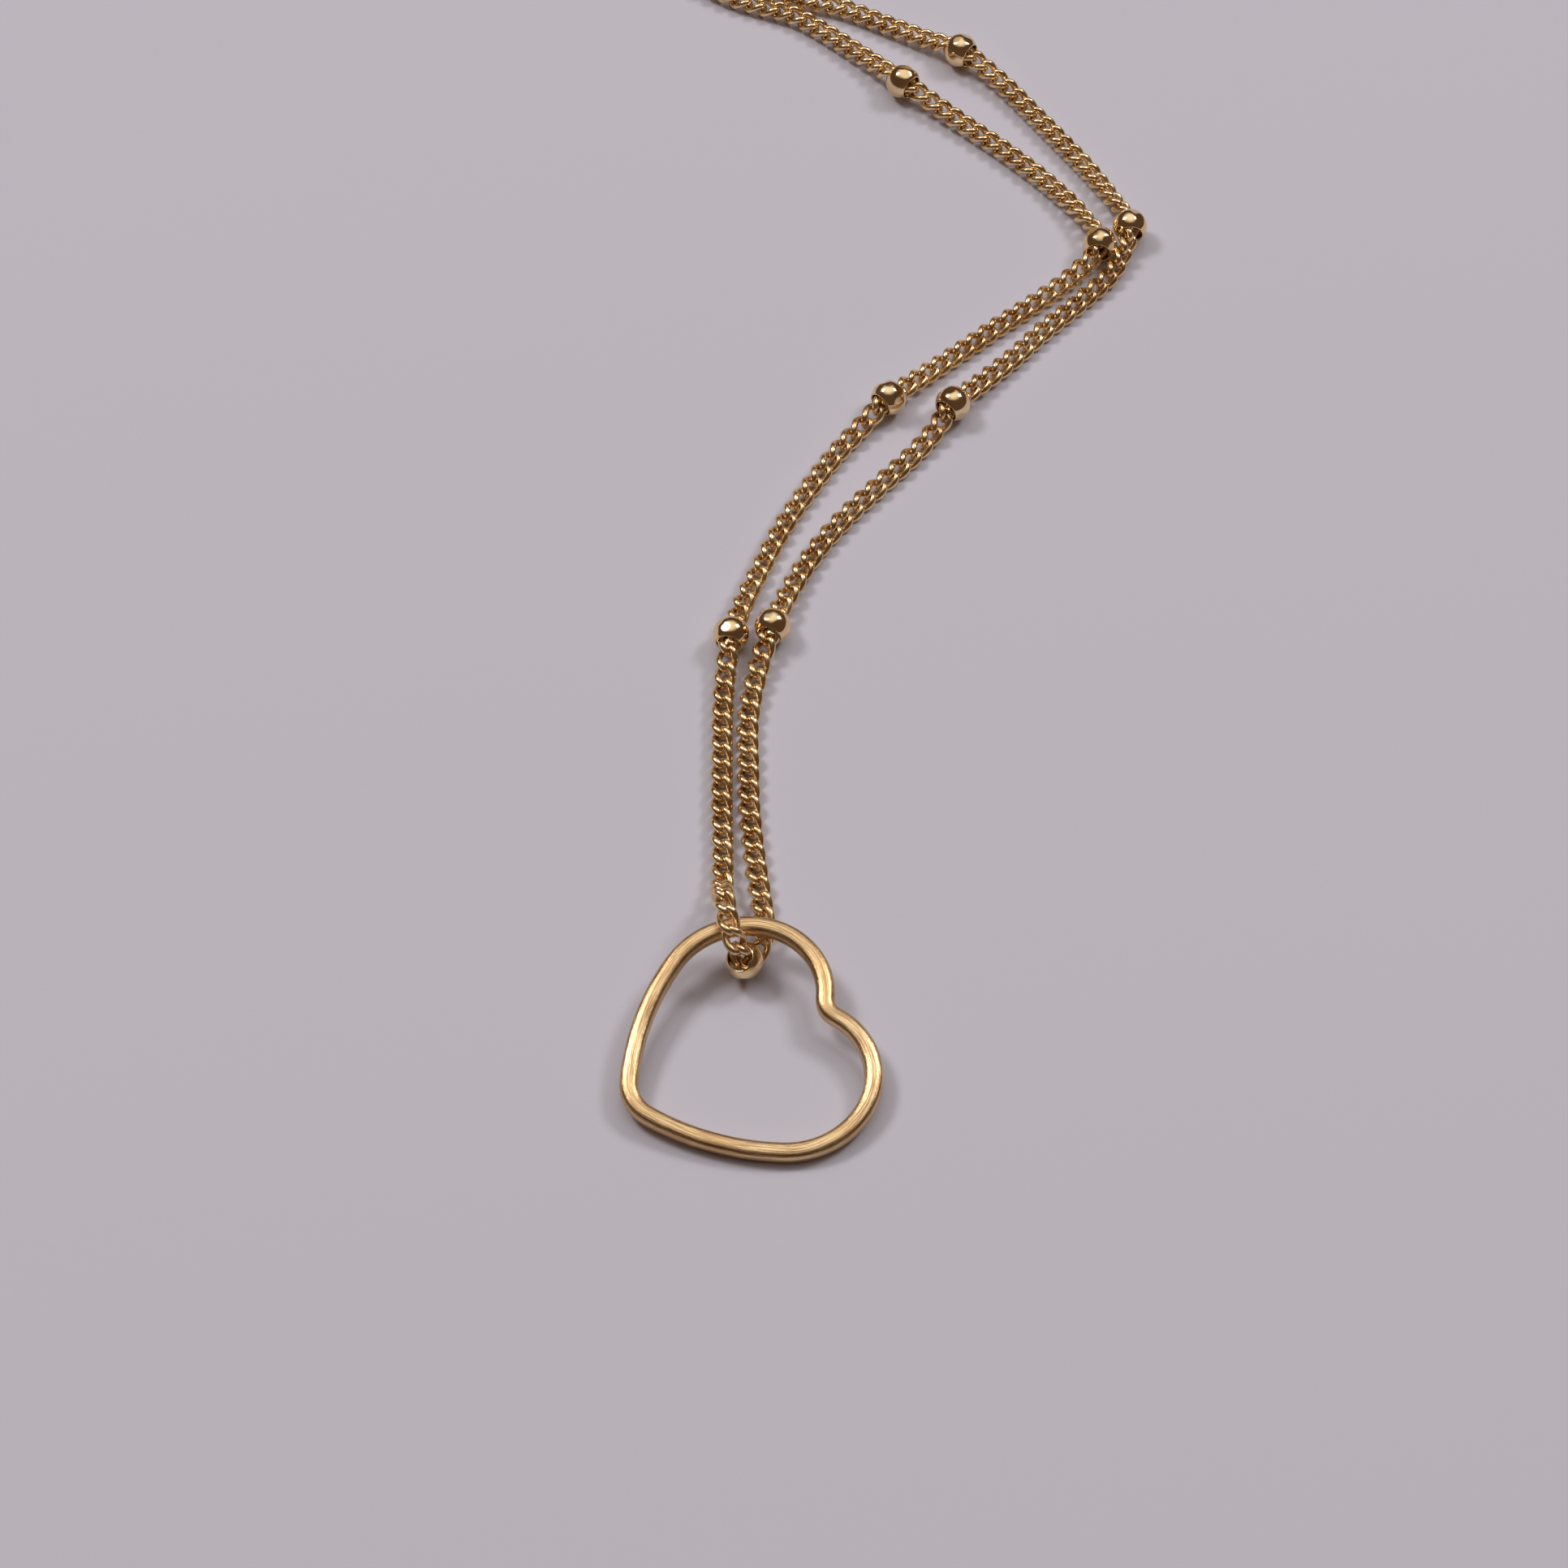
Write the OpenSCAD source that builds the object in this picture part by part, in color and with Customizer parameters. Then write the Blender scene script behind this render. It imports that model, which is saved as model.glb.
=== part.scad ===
// Bead-station curb chain necklace with an open wire heart, lying on a table.
// Frame: +Z up, origin under the middle of the heart, the chain runs away along +Y.

/* [Heart] */
// Overall width of the heart across its two lobes
heart_w = 17.8; // [12:0.1:24]
// Width of the heart's wire, seen from above
wire_w = 1.25; // [0.9:0.05:1.6]
// Height of the heart's wire
wire_h = 1.15; // [0.8:0.05:1.5]
// Diameter of the round stock whose four flats make the wire
wire_round_d = 1.45; // [1.2:0.05:2]
// Bend radius at the heart's tip, on the wire's centre line
tip_r = 2.5; // [1.5:0.1:4]
// Bend radius at the outer shoulder of each lobe
shoulder_r = 5.7; // [4:0.1:8]
// Bend radius of the notch between the lobes
notch_r = 1.25; // [1:0.05:2]
// Turn of the heart on the table, from +X to its notch
heart_turn = 27.5; // [0:0.5:60]

/* [Chain and beads] */
// Width of the chain
chain_w = 1.6; // [1.2:0.1:2]
// Height of the chain lying flat
chain_h = 1.2; // [0.9:0.05:1.4]
// Diameter of a bead
bead_d = 2.5; // [2.1:0.1:2.55]
// Wall left round a bead's hole at its rim
bead_hole_gap = 0.05; // [0.02:0.01:0.1]
// Length of the soldered link that ends each strand
end_link_len = 2.9; // [2.7:0.1:3.4]
// Width of that link
end_link_w = 2; // [1.9:0.1:2.4]
// Wire diameter of that link
end_link_wire = 0.45; // [0.35:0.05:0.5]

/* [Clasp] */
// Length from the clasp's eye to the middle of its hook
clasp_len = 6.6; // [6.2:0.1:8]
// Thickness of the clasp's housing
clasp_t = 2.2; // [1.8:0.1:2.4]
// Inner radius of the hook
hook_in_r = 1.5; // [1.4:0.05:1.8]
// Width and thickness of the hook's bar
hook_bar = 0.8; // [0.6:0.05:0.9]
// Thickness of the lever
lever_t = 0.8; // [0.6:0.05:1]
// Diameter of the lever's pin
pin_d = 0.6; // [0.5:0.05:0.8]
// Running clearance round the pin, on the radius
pin_clearance = 0.03; // [0.01:0.01:0.08]
// Hole in the clasp's eye
eye_hole_d = 1.5; // [1.4:0.1:1.9]
// Outer diameter of the jump ring in the clasp's eye
eye_ring_od = 3.4; // [3.3:0.1:4.2]
// Wire diameter of that ring
eye_ring_wire = 0.5; // [0.4:0.05:0.55]
// Outer diameter of the ring that the hook closes on
hook_ring_od = 4.4; // [4.3:0.1:5]
// Wire diameter of that ring
hook_ring_wire = 0.6; // [0.4:0.05:0.75]

/* [Hidden] */
$fn = 48;
left_count = 9;
right_count = 7;
gold = "gold";
bead_gold = "goldenrod";

// Heart: five arcs for half the outline, given as [radius, turn]
tip_turn = 31;
flank_turn = 30;
shoulder_turn = 64;
notch_turn = 33;
lobe_turn = 180 + notch_turn - tip_turn - flank_turn - shoulder_turn;
flank_end = tip_turn + flank_turn;
shoulder_end = flank_end + shoulder_turn;
lobe_end = shoulder_end + lobe_turn;
half_width = (heart_w - wire_w) / 2;
// the long flank brings the lobes to the heart's width
flank_r = (half_width - tip_r * sin(tip_turn) - shoulder_r * (1 - sin(flank_end)))
    / (sin(flank_end) - sin(tip_turn));
// the lobe closes the outline on the heart's own axis
lobe_r = (tip_r * sin(tip_turn) + flank_r * (sin(flank_end) - sin(tip_turn))
    + shoulder_r * (sin(shoulder_end) - sin(flank_end)) + notch_r * sin(lobe_end))
    / (sin(shoulder_end) - sin(lobe_end));
half_arcs = [[tip_r, tip_turn], [flank_r, flank_turn], [shoulder_r, shoulder_turn],
    [lobe_r, lobe_turn], [-notch_r, notch_turn]];

// heading of the wire before arc i, clockwise from the start heading at the tip
function heading(i) = i == 0 ? 0 : heading(i - 1) + sign(half_arcs[i - 1][0]) * half_arcs[i - 1][1];
// chord of an arc of radius r, in the heart's own axes, between two headings
function chord(r, h0, h1) = r * [cos(h0) - cos(h1), sin(h1) - sin(h0)];
function arc_start(i) = i == 0 ? [0, 0] : arc_start(i - 1)
    + chord(half_arcs[i - 1][0], heading(i - 1), heading(i));
function point_at(i, h) = arc_start(i) + chord(half_arcs[i][0], heading(i), h);
function turned(p, a) = [p[0] * cos(a) - p[1] * sin(a), p[0] * sin(a) + p[1] * cos(a)];
function mirrored(p) = [p[0], -p[1]];

// every second bend is this much thinner and runs this far into its neighbours
bend_step = 0.01;
bend_lap = 0.06;

// the wire runs level, along X, at these two headings
top_heading = 90 + heart_turn;
low_heading = 90 - heart_turn;
top_point = turned(point_at(2, top_heading), heart_turn);
low_point = turned(mirrored(point_at(2, low_heading)), heart_turn);
heart_len = top_point[1] - low_point[1];

// the far side of the heart rests on the rising end of a strand, the near side on the table
rest_gap = (wire_round_d - wire_h) / 2 + 0.03;
strand_rise = 0.6;
wire_lift = chain_h + strand_rise + rest_gap;
heart_tilt = asin(wire_lift / heart_len);
flat_half = sqrt(pow(wire_round_d / 2, 2) - pow(wire_h / 2, 2));
wire_low = flat_half * sin(heart_tilt) + wire_h / 2 * cos(heart_tilt);
loop_at = [-0.177, 7.93, wire_lift + wire_low];

// Route of the two strands, each from the middle of the middle bead
lie = chain_h / 2;
bead_z = bead_d / 2;
over_gap = 0.3;
over_wire = loop_at[2] + wire_round_d / 2 + lie + over_gap;
middle_at = [-0.5, 5.8, 1.8];
middle_axis = [-0.32, -0.34, 0.885];
left_route = [
    middle_at, [-0.8, 5.95, 2.9], [-1.2, 6.4, 3.8], [-1.5, 7.2, over_wire + 0.05],
    [-1.7, 8.2, over_wire + 0.15], [-1.85, 9.2, over_wire - 0.15], [-1.95, 10.3, 3],
    [-2, 11.5, 1.6], [-2, 12.9, 0.8], [-2, 15.5, lie], [-2.1, 19, lie], [-2.1, 22.5, lie], [-2.1, 26, lie], [-1.9, 29.4, 0.8],
    [-1.5, 32.5, bead_z], [-0.6, 35.8, 0.8], [0.5, 38.7, lie], [1.9, 42, lie], [3.6, 45.2, lie],
    [5.7, 48.6, lie], [7.5, 50.9, 0.8], [9.4, 53.1, bead_z], [11.9, 55.5, 0.8], [14.5, 57.8, lie],
    [17.2, 60.1, lie], [19.9, 62.3, lie], [22.6, 64.6, 0.8], [24.7, 67.3, bead_z],
    [23.5, 70.5, 0.8], [21.1, 73.7, lie], [18.6, 76.3, lie], [16.2, 78.5, lie],
    [13.5, 80.8, 0.8], [10.8, 83, bead_z], [8.3, 85.6, 0.8], [5.6, 88.1, lie], [3, 90.1, lie],
    [0.6, 91.1, lie], [-1.8, 92.1, lie], [-4.6, 94.1, 0.8], [-6.2, 96.6, bead_z],
    [-7.2, 100.4, 0.8], [-7.5, 102.6, lie]];
right_route = [
    middle_at, [-0.1, 6.1, 1.3], [0.4, 6.9, lie + strand_rise], [0.75, 8, lie + strand_rise],
    [0.75, 9.4, 0.9], [0.6, 11, lie], [0.15, 14.6, lie], [-0.2, 18.4, lie], [-0.3, 22.2, lie], [-0.3, 26, lie],
    [0.3, 29.7, 0.8], [1.3, 33.2, bead_z], [2.5, 36.6, 0.8], [4.2, 40, lie], [6.3, 43, lie],
    [8.6, 45.7, lie], [10.9, 48.3, lie], [12.6, 50.5, 0.8], [13.9, 52.6, bead_z],
    [16.1, 55, 0.8], [18.4, 57.4, lie], [20.6, 59.9, lie], [23.3, 62.6, lie], [25.7, 65.4, 0.8],
    [26.9, 69, bead_z], [25.7, 72.1, 0.8], [24, 75.1, lie], [22, 78, lie], [20, 80.8, lie],
    [17.8, 83.6, 0.8], [15.1, 86.1, bead_z], [12.5, 87.7, 0.8], [9.5, 89.4, lie], [6.4, 91, lie],
    [3.4, 91.9, lie], [0.4, 93.2, 0.8], [-2.2, 95.6, 1.1]];
// points of the routes that carry a bead
left_bead_points = [14, 21, 27, 33, 40];
right_bead_points = [11, 18, 24, 30];
right_fifth_bead = [-3.5, 97.3, bead_z];
right_fifth_heading = [-2.4, 5.2, 0];

// Clasp, laid across the middle of the coil, its eye towards +Y
clasp_z = hook_ring_wire + hook_bar / 2 + 0.25;
eye_t = 0.8;
eye_od = eye_hole_d + 1.1;
slot_gap = 0.05;
slot_room = 0.3;
hook_drop = 0.6;
hub_r = 0.8;
eye_ring_r = (eye_ring_od - eye_ring_wire) / 2;
hook_ring_r = (hook_ring_od - hook_ring_wire) / 2;
hook_mid_r = hook_in_r + hook_bar / 2;
hook_centre = [clasp_len, -hook_drop];
lever_pivot = [clasp_len - 2.3, -hook_drop - 1];
lever_reach = 3.35;
tip_gap = 0.1;
// how far a standing ring's circle of radius r, centred at height h, reaches out at height z
function reach(r, h, z) = sqrt(pow(r, 2) - pow(h - z, 2));
eye_ring_x = -(reach(eye_ring_r, eye_ring_od / 2, clasp_z - eye_t / 2)
    + reach(eye_ring_r, eye_ring_od / 2, clasp_z + eye_t / 2)) / 2;
// the closing ring's inner wall passes just behind the hook's bar
hook_gap = 0.159;
hook_ring_x = clasp_len + sqrt(pow(hook_in_r, 2) - pow(hook_drop, 2)) - hook_gap
    + reach(hook_ring_r - hook_ring_wire / 2, hook_ring_od / 2, clasp_z - hook_bar / 2);
// the end links hang in the rings, just clear of the rings' inner walls
link_gap = 0.09;
link_z = max(eye_ring_wire, hook_ring_wire) + end_link_wire / 2 + 0.175;
function link_reach(r, od, wire) = reach(r - wire / 2 - end_link_wire / 2 - link_gap, od / 2, link_z)
    + (end_link_len - end_link_wire) / 2;
left_link_x = eye_ring_x - link_reach(eye_ring_r, eye_ring_od, eye_ring_wire);
right_link_x = hook_ring_x + link_reach(hook_ring_r, hook_ring_od, hook_ring_wire);

// Coil of the part that is put away: two strands wound side by side round the clasp
pass_gap = bead_d + 0.1;
clasp_room = 0.4812;
inner_pass_r = (right_link_x - left_link_x) / 2 + clasp_room + chain_w / 2;
coil_r = inner_pass_r + 2.5 * pass_gap;
coil_at = [coil_r - 7.6, 108];
// the middle of the clasp and its rings lies on the middle of the coil
eye_y = coil_at[1] + (left_link_x + right_link_x) / 2;
bead_step = 22;
// length of each strand from its fifth bead to the start of the coil
left_lead = 11.55;
right_lead = 10.9;
spiral_drop = pass_gap / 360;
function spiral_start(right) = coil_r - (right ? pass_gap : 0);
function spiral_r(right, turned_by) = spiral_start(right) - 2 * spiral_drop * turned_by;
// angle wound off after a length s of chain
function wound(right, s) = let (drop = pass_gap / (2 * PI), r = spiral_start(right))
    (r - sqrt(r * r - 4 * drop * s)) / (2 * drop) * 180 / PI;
function on_spiral(right, turned_by) = [
    coil_at[0] - spiral_r(right, turned_by) * cos(turned_by),
    coil_at[1] + spiral_r(right, turned_by) * sin(turned_by), bead_z];
function coil_length(right, i) = (i - 5) * bead_step - (right ? right_lead : left_lead);

module wire_section(step) {
    intersection() {
        circle(d = wire_round_d - step);
        square([wire_w - step, wire_h - step], center = true);
    }
}

// one bend of the heart's wire, in the plane of the heart; the tip and the notch are
// drawn whole, through the heart's axis
module wire_bend(i) {
    r = half_arcs[i][0];
    whole = i == 0 || i == len(half_arcs) - 1;
    turn = half_arcs[i][1] * (whole ? 2 : 1);
    h = heading(i);
    centre = arc_start(i) + r * [cos(h), -sin(h)];
    thin = i % 2 == 1;
    lap = thin ? bend_lap / abs(r) * 180 / PI : 0;
    first = (r < 0 ? -h : whole ? 180 - turn / 2 : 180 - h - turn) - lap;
    translate([centre[0], centre[1], 0])
        rotate([0, 0, first])
            rotate_extrude(angle = turn + 2 * lap)
                translate([abs(r), 0]) wire_section(thin ? bend_step : 0);
}

module side_bends() {
    for (i = [1:len(half_arcs) - 2]) wire_bend(i);
}

module heart() {
    color(gold)
        translate(loop_at)
            rotate([heart_tilt, 0, 0])
                translate([-top_point[0], -top_point[1], 0])
                    rotate([0, 0, heart_turn]) {
                        wire_bend(0);
                        side_bends();
                        mirror([0, 1, 0]) side_bends();
                        wire_bend(len(half_arcs) - 1);
                    }
}

// round bead with a through hole along the given direction
module bead(at, along) {
    color(bead_gold)
        translate(at)
            rotate([0, acos(along[2] / norm(along)), atan2(along[1], along[0])])
                difference() {
                    sphere(d = bead_d);
                    cylinder(d = chain_w + 2 * bead_hole_gap, h = 2 * bead_d, center = true);
                }
}

module route_bead(route, i) {
    bead(route[i], route[i + 1] - route[i - 1]);
}

module spiral_bead(right, i) {
    turned_by = wound(right, coil_length(right, i));
    bead(on_spiral(right, turned_by), [sin(turned_by), cos(turned_by), 0]);
}

module left_bead(i) {
    if (i <= len(left_bead_points)) route_bead(left_route, left_bead_points[i - 1]);
    else spiral_bead(false, i);
}

module right_bead(i) {
    if (i <= len(right_bead_points)) route_bead(right_route, right_bead_points[i - 1]);
    else if (i == 5) bead(right_fifth_bead, right_fifth_heading);
    else spiral_bead(true, i);
}

// chain envelope: an eight-sided flat tube swept along a route; lean turns the first rings
tube_sides = 8;
function unit(v) = v / norm(v);
function along(route, i) = unit(route[min(i + 1, len(route) - 1)] - route[max(i - 1, 0)]);
function across(route, i, lean) = unit(cross(along(route, i), [0, lean * max(0, 3 - i), 1]));
function tube_ring(route, i, lean) =
    let (side = across(route, i, lean), up = cross(side, along(route, i)))
    [for (k = [0:tube_sides - 1]) route[i]
        + chain_w / 2 * cos(k * 360 / tube_sides) * side
        + chain_h / 2 * sin(k * 360 / tube_sides) * up];

module chain_tube(route, lean) {
    n = len(route);
    points = [for (i = [0:n - 1]) each tube_ring(route, i, lean)];
    sides = [for (i = [0:n - 2], k = [0:tube_sides - 1])
        let (a = i * tube_sides + k, b = i * tube_sides + (k + 1) % tube_sides)
        each [[a, a + tube_sides, b], [b, a + tube_sides, b + tube_sides]]];
    first = [[for (k = [0:tube_sides - 1]) k]];
    last = [[for (k = [tube_sides - 1:-1:0]) (n - 1) * tube_sides + k]];
    color(gold) polyhedron(points, concat(sides, first, last));
}

module coiled_chain() {
    color(gold)
        translate([coil_at[0], coil_at[1], 0])
            difference() {
                cylinder(r = coil_r + chain_w / 2, h = chain_h);
                translate([0, 0, -1]) cylinder(r = inner_pass_r - chain_w / 2, h = chain_h + 2);
            }
}

// everything on the clasp's line is drawn along +X and laid towards -Y
module on_clasp_line(x = 0, z = 0) {
    translate([coil_at[0], eye_y, 0])
        rotate([0, 0, -90])
            translate([x, 0, z])
                children();
}

module end_link(x) {
    mid_r = (end_link_w - end_link_wire) / 2;
    straight = end_link_len - end_link_w;
    color(gold)
        on_clasp_line(x, link_z)
            for (turn = [0, 180]) rotate([0, 0, turn]) {
                translate([straight / 2, 0, 0])
                    rotate([0, 0, -90])
                        rotate_extrude(angle = 180)
                            translate([mid_r, 0]) circle(d = end_link_wire);
                translate([-straight / 2, mid_r, 0])
                    rotate([0, 90, 0]) cylinder(d = end_link_wire, h = straight);
            }
}

// a round ring standing on edge, in the plane of the clasp's line and +Z
module standing_ring(x, mid_r, wire) {
    color(gold)
        on_clasp_line(x, mid_r + wire / 2)
            rotate([90, 0, 0])
                rotate_extrude() translate([mid_r, 0]) circle(d = wire);
}

module hook_section() {
    intersection() {
        circle(d = hook_bar * 1.2);
        square(hook_bar, center = true);
    }
}

// part of the hook's round, from one angle to another about the hook's centre
module hook_arc(from, to) {
    translate([hook_centre[0], hook_centre[1], 0])
        rotate([0, 0, from])
            rotate_extrude(angle = to - from)
                translate([hook_mid_r, 0]) hook_section();
}

module at_pivot() {
    translate([lever_pivot[0], lever_pivot[1], 0]) children();
}

module clasp_body() {
    px = lever_pivot[0];
    py = lever_pivot[1];
    color(gold)
        on_clasp_line(0, clasp_z)
            difference() {
                union() {
                    cylinder(d = eye_od, h = eye_t, center = true);
                    linear_extrude(clasp_t, center = true)
                        polygon([[eye_od / 2 - 0.5, -0.7], [eye_od / 2 - 0.5, 0.7], [px - 1.8, 1.4],
                            [px + 0.3, 1.6], [px + 0.9, 0.9], [px + 0.8, py + 0.2],
                            [px + 0.5, py - 0.7], [px - 0.8, py - 0.7], [px - 2.2, py + 0.2]]);
                    difference() {
                        hook_arc(-75, 165);
                        at_pivot()
                            intersection() {
                                cylinder(r = lever_reach + tip_gap, h = clasp_t, center = true);
                                translate([0, -5, -clasp_t]) cube([6, 5.6, 2 * clasp_t]);
                            }
                    }
                }
                cylinder(d = eye_hole_d, h = 2 * clasp_t, center = true);
                // slot for the lever, open towards the mouth and the thumb tab
                at_pivot()
                    translate([-hub_r - slot_room, -3, -lever_t / 2 - slot_gap])
                        cube([4, 3 + hub_r + slot_room, lever_t + 2 * slot_gap]);
                at_pivot() cylinder(d = pin_d, h = 2 * clasp_t, center = true);
            }
}

module clasp_lever() {
    color(bead_gold)
        on_clasp_line(0, clasp_z)
            difference() {
                union() {
                    at_pivot() cylinder(r = hub_r, h = lever_t, center = true);
                    intersection() {
                        hook_arc(-158, -45);
                        at_pivot() cylinder(r = lever_reach, h = clasp_t, center = true);
                    }
                    at_pivot()
                        rotate([0, 0, -115])
                            translate([0, -0.45, -lever_t / 2]) cube([1.7, 0.9, lever_t]);
                    at_pivot()
                        rotate([0, 0, -115])
                            translate([1.7, 0, 0]) cylinder(d = 0.9, h = lever_t, center = true);
                }
                at_pivot() cylinder(d = pin_d + 2 * pin_clearance, h = 2 * clasp_t, center = true);
            }
}

module clasp_pin() {
    color(gold)
        on_clasp_line(0, clasp_z) at_pivot() cylinder(d = pin_d, h = clasp_t, center = true);
}

// leaf spring in the back of the slot, bent round the lever's hub
module clasp_spring() {
    leaf_t = 0.12;
    leaf_w = 0.6;
    color("silver")
        on_clasp_line(0, clasp_z)
            at_pivot()
                rotate([0, 0, 90])
                    rotate_extrude(angle = 90)
                        translate([hub_r + slot_room - leaf_t + 0.02, -leaf_w / 2])
                            square([leaf_t, leaf_w]);
}

heart();
bead(middle_at, middle_axis);  // middle_bead
for (i = [1:left_count]) left_bead(i);
for (i = [1:right_count]) right_bead(i);
chain_tube(left_route, -1);  // left_chain
chain_tube(right_route, 1);  // right_chain
coiled_chain();
end_link(left_link_x);  // left_end_link
end_link(right_link_x);  // right_end_link
standing_ring(eye_ring_x, eye_ring_r, eye_ring_wire);  // left_jump_ring
standing_ring(hook_ring_x, hook_ring_r, hook_ring_wire);  // closing_ring
clasp_body();
clasp_lever();
clasp_pin();
clasp_spring();
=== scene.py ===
import bpy
import bmesh
import math
import random
from mathutils import Matrix, Vector


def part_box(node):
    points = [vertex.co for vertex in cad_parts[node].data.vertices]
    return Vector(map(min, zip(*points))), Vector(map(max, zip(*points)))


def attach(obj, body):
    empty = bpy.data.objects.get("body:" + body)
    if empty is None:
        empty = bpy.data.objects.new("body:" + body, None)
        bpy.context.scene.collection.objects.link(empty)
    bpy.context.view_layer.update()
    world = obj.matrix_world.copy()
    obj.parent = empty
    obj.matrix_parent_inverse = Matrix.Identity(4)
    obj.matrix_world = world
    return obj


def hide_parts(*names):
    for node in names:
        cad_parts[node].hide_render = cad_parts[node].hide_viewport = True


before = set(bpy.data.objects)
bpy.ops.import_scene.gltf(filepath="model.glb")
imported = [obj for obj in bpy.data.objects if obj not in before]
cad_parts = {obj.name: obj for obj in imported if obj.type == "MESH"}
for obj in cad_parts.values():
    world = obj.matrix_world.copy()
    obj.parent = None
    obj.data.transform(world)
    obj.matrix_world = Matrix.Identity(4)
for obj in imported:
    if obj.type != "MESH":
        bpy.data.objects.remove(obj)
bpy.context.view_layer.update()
scene = bpy.context.scene
mm = 0.001
print("frame loaded:", len(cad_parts), "nodes")


def mmVector(values):
    return Vector(values) * mm


def addPiece(name, bm, body=None):
    mesh = bpy.data.meshes.new(name)
    bm.to_mesh(mesh)
    bm.free()
    piece = bpy.data.objects.new(name, mesh)
    scene.collection.objects.link(piece)
    for face in mesh.polygons:
        face.use_smooth = True
    if body:
        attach(piece, body)
    return piece


def addSubdivision(piece):
    smoothing = piece.modifiers.new("smoothing", "SUBSURF")
    smoothing.levels = smoothing.render_levels = 1
    return piece


# camera

cameraSetup = {
    "aim": (2.077, 20.984, 0),
    "elevation": 55,
    "distance": 340.64,
    "lens": 117.43,
    "sensor": 36,
    "clip": (0.01, 10),  # metres
}


def placeCamera():
    data = bpy.data.cameras.new("camera")
    data.lens = cameraSetup["lens"]
    data.sensor_width = cameraSetup["sensor"]
    data.clip_start, data.clip_end = cameraSetup["clip"]
    camera = bpy.data.objects.new("camera", data)
    scene.collection.objects.link(camera)
    tilt = math.radians(cameraSetup["elevation"])
    away = Vector((0, -math.cos(tilt), math.sin(tilt))) * cameraSetup["distance"]
    camera.location = mmVector(Vector(cameraSetup["aim"]) + away)
    camera.rotation_euler = (math.pi / 2 - tilt, 0, 0)
    scene.camera = camera


placeCamera()
print("camera placed")


# the two strands of curb chain

link = {
    "pitch": 1.3,  # all lengths of a link are in mm
    "halfLength": 0.9,  # on the wire's centre line, as the width is
    "halfWidth": 0.56,
    "taper": 1.2,  # 1 would make an oval, a higher value a more pointed link
    "rise": -0.37,
    "kink": -0.03,  # moves the rise towards the link's ends
    "wire": 0.56,
    "flank": 0.62,  # the wire is pressed wider along the link's two long sides
    "ring": 0.725,  # radius of the round ring that a link is shaped from
    "around": 16,
    "sides": 6,
}

rest = 0.6  # height of a chain that lies flat
beadHeight = 1.25
beadReach = 3.6  # how far to each side of a bead it lifts the chain
overWire = 4.23  # height of the left strand where it crosses the heart's wire
underWire = 1.2
sightStep = 0.35  # how far ahead and behind a link looks for its direction

leftStrand = {
    "body": "chain",
    "route": [
        (-0.5, 5.8, 1.8), (-0.8, 5.95, 2.9), (-1.2, 6.4, 3.8), (-1.5, 7.2, overWire + 0.05),
        (-1.7, 8.2, overWire + 0.15), (-1.85, 9.2, overWire - 0.15), (-1.95, 10.3, 3),
        (-2, 11.5, 1.6), (-2, 12.9, 0.8), (-2, 15.5, rest),
        (-2.1, 19, rest), (-2.1, 22.5, rest), (-2.1, 26, rest), (-1.9, 29.4, 0.8),
        (-1.5, 32.5, beadHeight), (-0.6, 35.8, 0.8), (0.5, 38.7, rest), (1.9, 42, rest),
        (3.6, 45.2, rest), (5.7, 48.6, rest), (7.5, 50.9, 0.8), (9.4, 53.1, beadHeight),
        (11.9, 55.5, 0.8), (14.5, 57.8, rest), (17.2, 60.1, rest), (19.9, 62.3, rest),
        (22.6, 64.6, 0.8), (24.7, 67.3, beadHeight), (23.5, 70.5, 0.8), (21.1, 73.7, rest),
        (18.6, 76.3, rest), (16.2, 78.5, rest), (13.5, 80.8, 0.8), (10.8, 83, beadHeight),
        (8.3, 85.6, 0.8), (5.6, 88.1, rest), (3, 90.1, rest), (0.6, 91.1, rest),
        (-1.8, 92.1, rest), (-4.6, 94.1, 0.8), (-6.2, 96.6, beadHeight), (-7.2, 100.4, 0.8),
        (-7.5, 102.6, rest)],
    "beads": ["middle_bead"] + ["left_bead_%d" % i for i in range(1, 10)],
    "turned": 428,  # degrees wound in the coil
    "inner": 0,
    "ending": [(5.3, 116.7, 0.9), (6.4, 117, 1.1), (6.9, 116.5, 1.1), (6.9, 115.4, 1)],
    # what a link's flat side faces, its roll and its pitch, by the point of the route
    "up": {0: (0, -1, 0.1), 1: (0, -1, 0.3), 2: (0, -0.5, 1), 3: (0, 0, 1)},
    "roll": {0: 0, 14: 0, 17: 40, 25: 40, 27: 60, 29: 0},
    "pitch": {0: 1.3, 13: 1.3, 15: 1.15, 30: 1.1},
}
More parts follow.
